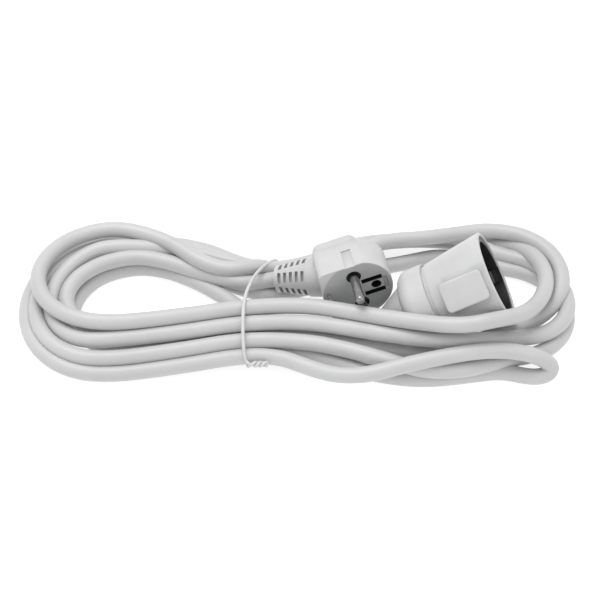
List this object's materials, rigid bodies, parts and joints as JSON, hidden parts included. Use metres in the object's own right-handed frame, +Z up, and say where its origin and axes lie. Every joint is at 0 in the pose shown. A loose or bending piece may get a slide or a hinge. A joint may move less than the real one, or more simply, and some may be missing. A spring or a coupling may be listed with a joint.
{
  "type": "extension cord",
  "caption": "White household extension cord tied up as an oblong hank, with an angled two-pin earthed plug and an in-line socket.",
  "frame": {"origin": "middle of the hank on the surface it lies on", "axes": "+X along the hank toward the socket end, +Y to the back strands, +Z up"},
  "size_m": [0.2922, 0.1118, 0.06],
  "materials": {
    "white_moulding": "smooth white PVC and PP moulding, soft sheen",
    "grey_carrier": "satin mid-grey thermoplastic",
    "black_liner": "satin black thermoplastic",
    "inner_moulding": "plain moulded thermoplastic",
    "flex_sheath": "white PVC flex sheath, faint sheen",
    "tie_coating": "white plastic-coated wire",
    "core_brown": "brown PVC insulation",
    "core_blue": "blue PVC insulation",
    "core_green_yellow": "green and yellow PVC insulation",
    "nickel_pin": "nickel-plated brass, turned",
    "nickel_strip": "nickel-plated strip",
    "contact_brass": "rolled contact brass",
    "spring_steel": "bright steel"
  },
  "bodies": {
    "cord_set": {"cord_hank": "flex_sheath", "cord_lead_plug": "flex_sheath", "cord_lead_socket": "flex_sheath", "plug_core_earth": "core_green_yellow", "plug_core_live": "core_brown", "plug_core_neutral": "core_blue", "plug_earth_clip_far": "nickel_strip", "plug_earth_clip_near": "nickel_strip", "plug_earth_sleeve": "nickel_strip", "plug_insert": "grey_carrier", "plug_pin_live": "nickel_pin", "plug_pin_neutral": "nickel_pin", "plug_shell": "white_moulding", "plug_strain_relief": "white_moulding", "socket_contact_carrier": "inner_moulding", "socket_contact_live": "contact_brass", "socket_contact_neutral": "contact_brass", "socket_core_earth": "core_green_yellow", "socket_core_live": "core_brown", "socket_core_neutral": "core_blue", "socket_earth_bracket": "nickel_strip", "socket_housing": "white_moulding", "socket_insert": "black_liner", "socket_pivot": "spring_steel", "socket_rear_cover": "white_moulding", "socket_shutter_spring": "spring_steel", "socket_strain_relief": "white_moulding", "twist_tie": "tie_coating"},
    "shutter": {"socket_shutter": "black_liner"}
  },
  "joints": [
    {"name": "shutter_turn", "type": "hinge", "parent": "cord_set", "child": "shutter", "pos_m": [0.08445, -0.00946, 0.02763], "axis": [0.892, 0.0989, 0.4411], "range_deg": [0, 32], "stiffness_Nm_per_rad": 0.004}
  ]
}
